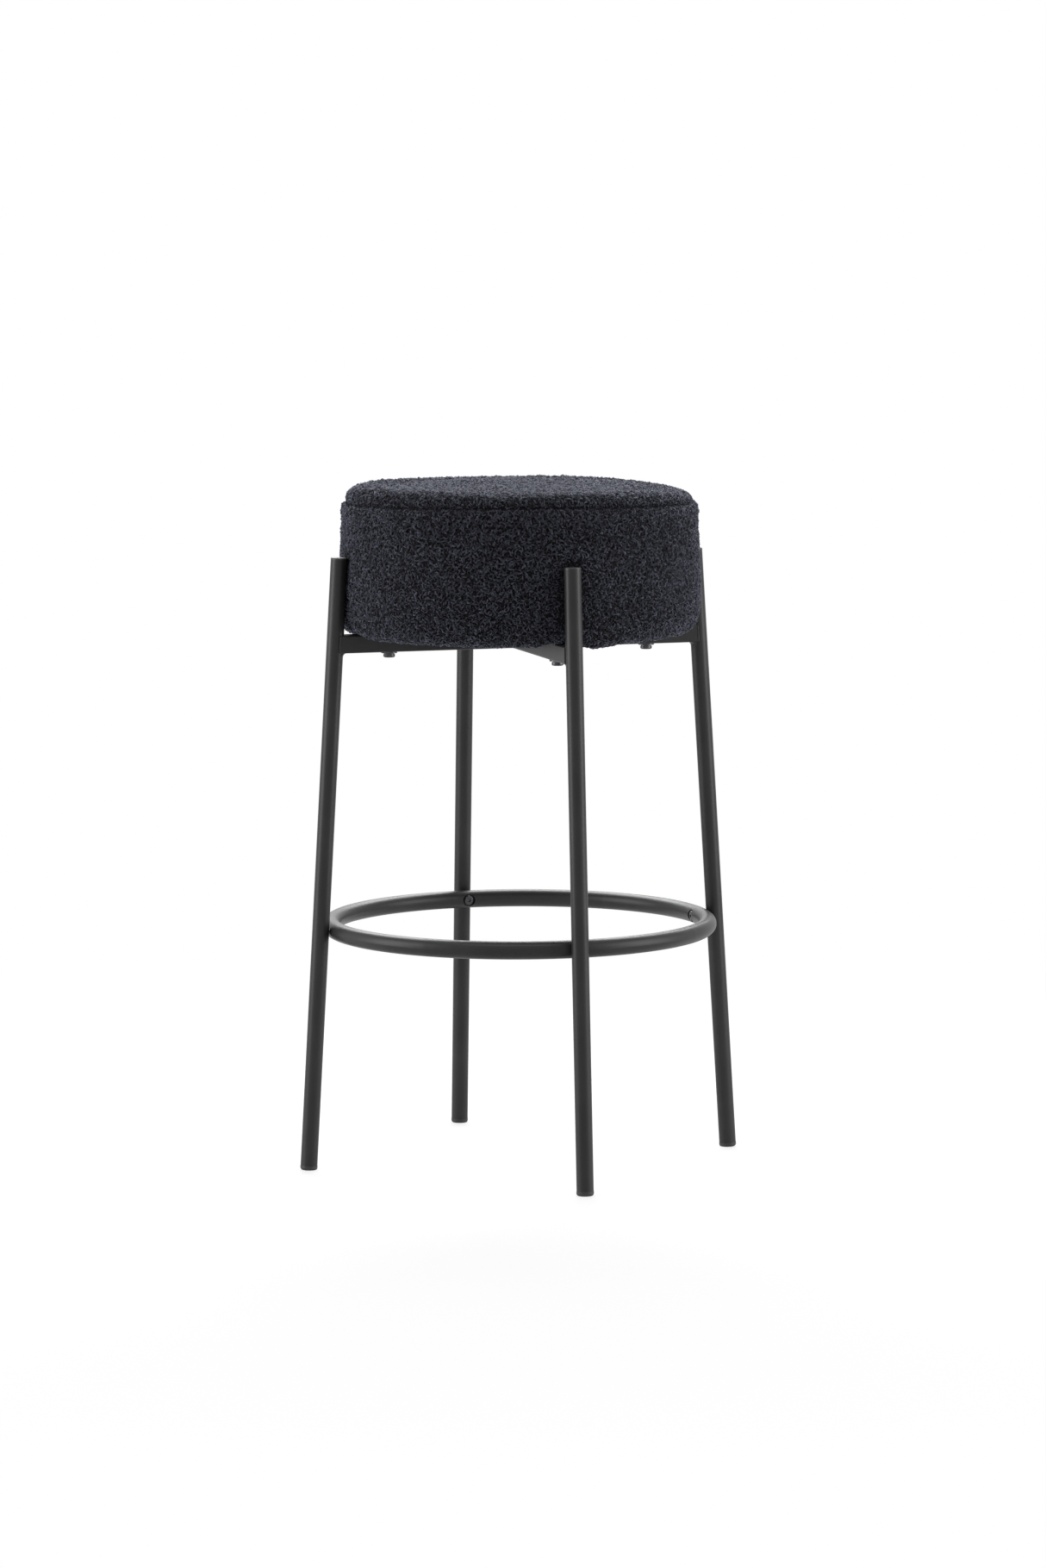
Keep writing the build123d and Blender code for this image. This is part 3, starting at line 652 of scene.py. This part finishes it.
yarn_ring = add_node(pile_tree, "ShaderNodeMath", {0: given["Yarn Thickness"], 1: 0.5}, operation="MULTIPLY")
yarn_ring = add_node(pile_tree, "GeometryNodeCurvePrimitiveCircle", {
    "Resolution": yarn_sides, "Radius": yarn_ring.outputs[0]})
shapes = add_node(pile_tree, "GeometryNodeJoinGeometry")
for curve in (arch.outputs["Geometry"], leaning.outputs["Geometry"], lying.outputs["Geometry"]):
    even = add_node(pile_tree, "GeometryNodeResampleCurve", {"Curve": curve, "Count": loop_points})
    tube = add_node(pile_tree, "GeometryNodeCurveToMesh", {
        "Curve": even.outputs["Curve"], "Fill Caps": True, "Profile Curve": yarn_ring.outputs["Curve"]})
    one = add_node(pile_tree, "GeometryNodeGeometryToInstance", {"Geometry": tube.outputs["Mesh"]})
    pile_tree.links.new(one.outputs["Instances"], shapes.inputs["Geometry"])
choice = add_node(pile_tree, "FunctionNodeRandomValue", {4: 0, 5: 2, "Seed": given["Seed"]}, data_type="INT")
spin = add_node(pile_tree, "FunctionNodeRandomValue", {
    0: (-loose_lean, -loose_lean, 0.0), 1: (loose_lean, loose_lean, math.tau), "Seed": given["Seed"]},
    data_type="FLOAT_VECTOR")
patch_scale = add_node(pile_tree, "ShaderNodeMath", {0: 1.0, 1: given["Brushed Patch"]}, operation="DIVIDE")
patch = add_node(pile_tree, "ShaderNodeTexNoise", {"Scale": patch_scale.outputs[0], "Detail": 1.0})
brushed = add_node(pile_tree, "ShaderNodeVectorMath", {
    0: patch.outputs["Color"], 1: middle_grey}, operation="SUBTRACT")
brushed = add_node(pile_tree, "ShaderNodeVectorMath", {
    0: brushed.outputs["Vector"], 1: brushed_lean}, operation="MULTIPLY")
spin = add_node(pile_tree, "ShaderNodeVectorMath", {
    0: spin.outputs[0], 1: brushed.outputs["Vector"]}, operation="ADD")
spin = add_node(pile_tree, "FunctionNodeEulerToRotation", {"Euler": spin.outputs["Vector"]})
turned = add_node(pile_tree, "FunctionNodeRotateRotation", {
    "Rotation": roots.outputs["Rotation"], "Rotate By": spin.outputs["Rotation"]}, rotation_space="LOCAL")
growth = add_node(pile_tree, "FunctionNodeRandomValue", {
    2: smallest_loop, 3: largest_loop, "Seed": given["Seed"]}, data_type="FLOAT")
height = add_node(pile_tree, "GeometryNodeInputNamedAttribute", {"Name": "pile_height"}, data_type="FLOAT")
grown = add_node(pile_tree, "ShaderNodeMath", {
    0: growth.outputs[1], 1: height.outputs["Attribute"]}, operation="MULTIPLY")
loops = add_node(pile_tree, "GeometryNodeInstanceOnPoints", {
    "Points": roots.outputs["Points"], "Instance": shapes.outputs["Geometry"], "Pick Instance": True,
    "Instance Index": choice.outputs[2], "Rotation": turned.outputs["Rotation"], "Scale": grown.outputs[0]})
tone_value = add_node(pile_tree, "FunctionNodeRandomValue", {
    2: darkest_loop, 3: lightest_loop, "Seed": given["Seed"]}, data_type="FLOAT")
patch_tone = add_node(pile_tree, "ShaderNodeMath", {
    0: patch.outputs["Fac"], 1: patch_share, 2: tone_value.outputs[1]}, operation="MULTIPLY_ADD")
toned = add_node(pile_tree, "GeometryNodeStoreNamedAttribute", {
    "Geometry": loops.outputs["Instances"], "Name": "yarn_tone", "Value": patch_tone.outputs[0]},
    data_type="FLOAT", domain="INSTANCE")
real = add_node(pile_tree, "GeometryNodeRealizeInstances", {"Geometry": toned.outputs["Geometry"]})
here = add_node(pile_tree, "GeometryNodeInputPosition")
wander = add_node(pile_tree, "ShaderNodeTexNoise", {
    "Vector": here.outputs["Position"], "Scale": 1000 / uneven_mm, "Detail": 0.0})
wander = add_node(pile_tree, "ShaderNodeVectorMath", {
    0: wander.outputs["Color"], 1: middle_grey}, operation="SUBTRACT")
wander = add_node(pile_tree, "ShaderNodeVectorMath", {
    0: wander.outputs["Vector"], "Scale": given["Unevenness"]}, operation="SCALE")
uneven = add_node(pile_tree, "GeometryNodeSetPosition", {
    "Geometry": real.outputs["Geometry"], "Offset": wander.outputs["Vector"]})
soft = add_node(pile_tree, "GeometryNodeSetShadeSmooth", {"Geometry": uneven.outputs["Geometry"]})
yarned = add_node(pile_tree, "GeometryNodeSetMaterial", {
    "Geometry": soft.outputs["Geometry"], "Material": boucle_yarn})
add_node(pile_tree, "NodeGroupOutput", {"Geometry": yarned.outputs["Geometry"]})


face_margin, loop_margin = 0.1, 0.05


def pile_piece(name, surface, turn, share, seed):
    """The loops on one sector of a panel's surface, made into a plain mesh with a map for its loops."""
    sector = bmesh.new()
    sector.from_mesh(surface)
    outside = []
    for face in sector.faces:
        middle = face.calc_center_median()
        angle = (math.atan2(middle.y, middle.x) - turn) % math.tau
        if angle >= share:
            outside.append(face)
    bmesh.ops.delete(sector, geom=outside, context="FACES")
    mesh = bpy.data.meshes.new(name)
    sector.to_mesh(mesh)
    sector.free()
    piece = grow(name, mesh, pile_tree, pile_sockets, {**pile_sizes, "Seed": seed})
    plain = piece.data
    faces_each = (loop_points - 1) * yarn_sides + 2
    loops_made = len(plain.polygons) // faces_each
    corner = np.array([(0, 0), (1, 0), (1, 1), (0, 1)], float)
    across = math.ceil(math.sqrt(faces_each))
    local = np.concatenate([(np.array([k % across, k // across]) + face_margin
                             + (1 - 2 * face_margin) * corner[:plain.polygons[k].loop_total]) / across
                            for k in range(faces_each)])
    per_side = math.ceil(math.sqrt(loops_made))
    number = np.arange(loops_made)
    cell = np.stack([number % per_side, number // per_side], axis=-1)
    spread = (cell[:, None] + loop_margin + (1 - 2 * loop_margin) * local[None]) / per_side
    chart = plain.uv_layers.new(name="OFBake")
    chart.data.foreach_set("uv", spread.astype(np.float32).ravel())
    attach(piece, "root")


for panel, surface, parts, first_seed in (("top", top_surface, 3, 11), ("band", band_surface, 6, 21)):
    for part in range(parts):
        pile_piece(f"boucle_pile_{panel}_{part + 1}", surface, part * math.tau / parts, math.tau / parts,
                   first_seed + part)


# Dust cover: thin black spun-bonded polypropylene cloth, cut round and stapled under the board, over the hem
# of the side band. It lies flat on the bars and hangs slack by a millimetre or two between them.
# Spun-bond is a mat of melted fibres, flat black with a grid of tiny welded dimples.
dust_cloth, tree, shader, place = start_material("polypropylene_spunbond_black", Roughness=0.8,
                                                 Specular_IOR_Level=0.3)
dimple_mm, thread_mm = 1.6, 0.8
dimples = add_node(tree, "ShaderNodeTexVoronoi", {
    "Vector": place, "Scale": 1000 / dimple_mm, "Randomness": 0.15}, voronoi_dimensions="2D")
threads = add_node(tree, "ShaderNodeTexNoise", {"Vector": place, "Scale": 1000 / thread_mm, "Detail": 4.0})
add_node(tree, "ShaderNodeValToRGB", {"Fac": threads.outputs["Fac"]},
         stops=((0.0, "#121213"), (1.0, "#26262a")), into=shader.inputs["Base Color"])
add_node(tree, "ShaderNodeBump", {
    "Height": dimples.outputs["Distance"], "Strength": 0.5, "Distance": 0.0003}, into=shader.inputs["Normal"])
dust_low, dust_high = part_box("dust_cover")
dust_radius = dust_high.x
rings, spokes = 28, 128
sheet_lift, sheet_thickness = 0.0004, 0.0003
slack_depth, on_bar, slack_run = 0.0016, 0.011, 0.03
puckers, pucker_depth = 24, 0.0003
slack_power, pucker_power = 6, 4
points = [(0.0, 0.0, dust_low.z + sheet_lift)]
for ring in range(1, rings + 1):
    reach = dust_radius * ring / rings
    for spoke in range(spokes):
        angle = spoke / spokes * math.tau
        x, y = reach * math.cos(angle), reach * math.sin(angle)
        away = min(abs(x), abs(y))
        slack = min(1.0, max(0.0, (away - on_bar) / slack_run)) * (1 - (ring / rings) ** slack_power)
        pucker = pucker_depth * math.sin(angle * puckers) * (ring / rings) ** pucker_power
        points.append((x, y, dust_low.z + sheet_lift - slack_depth * slack + pucker * slack))
faces = [(0, 1 + (k + 1) % spokes, 1 + k) for k in range(spokes)]
for ring in range(rings - 1):
    first, second = 1 + ring * spokes, 1 + (ring + 1) * spokes
    faces += [(first + k, first + (k + 1) % spokes, second + (k + 1) % spokes, second + k)
              for k in range(spokes)]
dust_sheet = new_piece("dust_cover_cloth", points, faces, dust_cloth)
thick = dust_sheet.modifiers.new("Cloth thickness", "SOLIDIFY")
thick.thickness = sheet_thickness
thick.offset = -1.0
apply_modifiers(dust_sheet)
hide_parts("dust_cover")
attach(dust_sheet, "root")


# Staples: flat galvanised steel wire, shot by hand through the dust cover and the hem into the board, a
# little askew, with none over the bars. Only their backs show, sunk at the ends.
staple_sizes = {"Staple Length": 0.010, "Wire Width": 0.0010, "Wire Thickness": 0.0006, "Slant": 0.16}
staple_seed, staple_count = 5, 52
staple_from_edge, staple_proud, clear_of_bar = 0.006, 0.0002, 0.016
end_sharpness, end_sink = 8.0, 0.3
staple_tree, staple_sockets, given = start_tree("staples", staple_sizes, seeded=True)
size = add_node(staple_tree, "ShaderNodeCombineXYZ", {
    "X": given["Wire Width"], "Y": given["Staple Length"], "Z": given["Wire Thickness"]})
wire = add_node(staple_tree, "GeometryNodeMeshCube", {
    "Size": size.outputs["Vector"], "Vertices X": 3, "Vertices Y": 9, "Vertices Z": 2})
here = add_node(staple_tree, "GeometryNodeInputPosition")
split = add_node(staple_tree, "ShaderNodeSeparateXYZ", {"Vector": here.outputs["Position"]})
end_share = add_node(staple_tree, "ShaderNodeMath", {
    0: split.outputs["Y"], 1: given["Staple Length"]}, operation="DIVIDE")
end_share = add_node(staple_tree, "ShaderNodeMath", {
    0: end_share.outputs[0], 1: end_sharpness}, operation="POWER")
sink = add_node(staple_tree, "ShaderNodeMath", {0: end_share.outputs[0], 1: end_sink}, operation="MULTIPLY")
sink = add_node(staple_tree, "ShaderNodeCombineXYZ", {"Z": sink.outputs[0]})
wire = add_node(staple_tree, "GeometryNodeSetPosition", {
    "Geometry": wire.outputs["Mesh"], "Offset": sink.outputs["Vector"]})
facing = add_node(staple_tree, "FunctionNodeAlignEulerToVector", {
    "Vector": here.outputs["Position"]}, axis="X", pivot_axis="Z")
less = add_node(staple_tree, "ShaderNodeMath", {0: given["Slant"], 1: -1.0}, operation="MULTIPLY")
slant = add_node(staple_tree, "FunctionNodeRandomValue", {
    2: less.outputs[0], 3: given["Slant"], "Seed": given["Seed"]}, data_type="FLOAT")
slant = add_node(staple_tree, "ShaderNodeCombineXYZ", {"Z": slant.outputs[1]})
facing = add_node(staple_tree, "ShaderNodeVectorMath", {
    0: facing.outputs["Rotation"], 1: slant.outputs["Vector"]}, operation="ADD")
shot = add_node(staple_tree, "GeometryNodeInstanceOnPoints", {
    "Points": given["Geometry"], "Instance": wire.outputs["Geometry"], "Rotation": facing.outputs["Vector"]})
shot = add_node(staple_tree, "GeometryNodeRealizeInstances", {"Geometry": shot.outputs["Instances"]})
shot = add_node(staple_tree, "GeometryNodeSetMaterial", {
    "Geometry": shot.outputs["Geometry"], "Material": zinc})
add_node(staple_tree, "NodeGroupOutput", {"Geometry": shot.outputs["Geometry"]})

staple_circle = dust_radius - staple_from_edge
staple_points = []
for k in range(staple_count):
    angle = (k + 0.5) / staple_count * math.tau
    x, y = staple_circle * math.cos(angle), staple_circle * math.sin(angle)
    if min(abs(x), abs(y)) > clear_of_bar:
        staple_points.append((x, y, dust_low.z - staple_proud))
staple_places = bpy.data.meshes.new("staple_places")
staple_places.from_pydata(staple_points, [], [])
staples = grow("hem_staples", staple_places, staple_tree, staple_sockets,
               {**staple_sizes, "Seed": staple_seed})
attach(staples, "root")


# Studio: a white floor that fades into a white ground, a large soft lamp on each side, one above and behind
# the stool and a weaker one over its front. None of it belongs to the stool.
camera_turn = math.radians(-16.64)
right_hand = Vector((math.cos(camera_turn), math.sin(camera_turn), 0))
ahead = Vector((-math.sin(camera_turn), math.cos(camera_turn), 0))
white, ground_light = (1, 1, 1, 1), 0.03


def seen_rays(tree):
    """One for what the camera, a reflection or glass sees, nought for the light that falls on the stool."""
    path = add_node(tree, "ShaderNodeLightPath")
    seen = add_node(tree, "ShaderNodeMath", {
        0: path.outputs["Is Camera Ray"], 1: path.outputs["Is Glossy Ray"]}, operation="MAXIMUM")
    seen = add_node(tree, "ShaderNodeMath", {
        0: seen.outputs[0], 1: path.outputs["Is Transmission Ray"]}, operation="MAXIMUM")
    return seen.outputs[0]


world = bpy.data.worlds.new("studio")
bpy.context.scene.world = world
world.use_nodes = True
tree = world.node_tree
ground = tree.nodes["Background"]
ground.inputs["Color"].default_value = white
add_node(tree, "ShaderNodeMapRange", {
    "Value": seen_rays(tree), "To Min": ground_light, "To Max": 1.0}, into=ground.inputs["Strength"])

floor_reach = 60
shadow_from, shadow_to, shadow_share = 0.4, 1.6, 0.3
floor_corners = [(x * floor_reach, y * floor_reach, 0) for x, y in ((-1, -1), (1, -1), (1, 1), (-1, 1))]
floor_mesh = bpy.data.meshes.new("floor")
floor_mesh.from_pydata(floor_corners, [], [(0, 1, 2, 3)])
floor = new_object("floor", floor_mesh)
floor_paint, tree, shader, place = start_material("white_floor_paint", Roughness=0.9, Specular_IOR_Level=0.0,
                                                  Base_Color=linear("#f2f2f2"))
away = add_node(tree, "ShaderNodeVectorMath", {0: place}, operation="LENGTH")
near = add_node(tree, "ShaderNodeMapRange", {
    "Value": away.outputs["Value"], "From Min": shadow_from, "From Max": shadow_to,
    "To Min": shadow_share, "To Max": 0.0}, interpolation_type="SMOOTHSTEP")
lit = add_node(tree, "ShaderNodeMapRange", {
    "Value": seen_rays(tree), "To Min": 1.0, "To Max": near.outputs["Result"]})
glow = add_node(tree, "ShaderNodeEmission", {"Color": white, "Strength": 1.0})
add_node(tree, "ShaderNodeMixShader", {
    0: lit.outputs["Result"], 1: glow.outputs["Emission"], 2: shader.outputs["BSDF"]},
    into=tree.nodes["Material Output"].inputs["Surface"])
floor_mesh.materials.append(floor_paint)


def soft_lamp(name, aside, forward, height, aim, width, tall, radiance):
    """A rectangular soft lamp of this brightness, aside and forward of the stool as the camera sees it, that
    aims at a height on the stool's axis."""
    data = bpy.data.lights.new(name, "AREA")
    data.shape = "RECTANGLE"
    data.size, data.size_y = width, tall
    data.energy = radiance * math.pi * width * tall
    lamp = new_object(name, data)
    place = aside * right_hand + forward * ahead + Vector((0, 0, height))
    lamp.location = place
    lamp.rotation_mode = "QUATERNION"
    lamp.rotation_quaternion = (Vector((0, 0, aim)) - place).to_track_quat("-Z", "Y")


soft_lamp("lamp_left", aside=-2.3, forward=-0.5, height=1.0, aim=0.5, width=1.3, tall=2.0, radiance=6.0)
soft_lamp("lamp_right", aside=2.3, forward=-0.6, height=1.0, aim=0.5, width=1.3, tall=2.0, radiance=5.8)
soft_lamp("lamp_top", aside=0.0, forward=1.9, height=2.2, aim=0.7, width=2.4, tall=1.6, radiance=10.5)
soft_lamp("lamp_front", aside=0.0, forward=-0.65, height=2.4, aim=0.4, width=1.8, tall=1.0, radiance=2.5)


# Camera: a long lens seven metres away, higher than the seat and looking a little down. It stands to the left
# of the front leg, and its picture is 1214 pixels wide and 1820 high. It isn't part of the stool.
photo_high = 1820
focal_pixels = 7294
camera_distance = 7.0
camera_height = 1.257
camera_pitch = math.radians(-6.78)
camera_roll = math.radians(-0.215)
axis_left_pixels = 4.8
camera_data = bpy.data.cameras.new("camera")
camera_data.sensor_width = 36.0
camera_data.lens = focal_pixels / photo_high * camera_data.sensor_width
camera_data.clip_end = 200
camera = new_object("camera", camera_data)
heading = camera_turn - axis_left_pixels / focal_pixels
look = Vector((-math.sin(heading) * math.cos(camera_pitch), math.cos(heading) * math.cos(camera_pitch),
               math.sin(camera_pitch)))
camera.rotation_mode = "QUATERNION"
roll = Matrix.Rotation(camera_roll, 3, "Z").to_quaternion()
camera.rotation_quaternion = look.to_track_quat("-Z", "Y") @ roll
camera.location = -camera_distance * ahead + Vector((0, 0, camera_height))
bpy.context.scene.camera = camera

bpy.context.scene.view_settings.view_transform = "Standard"
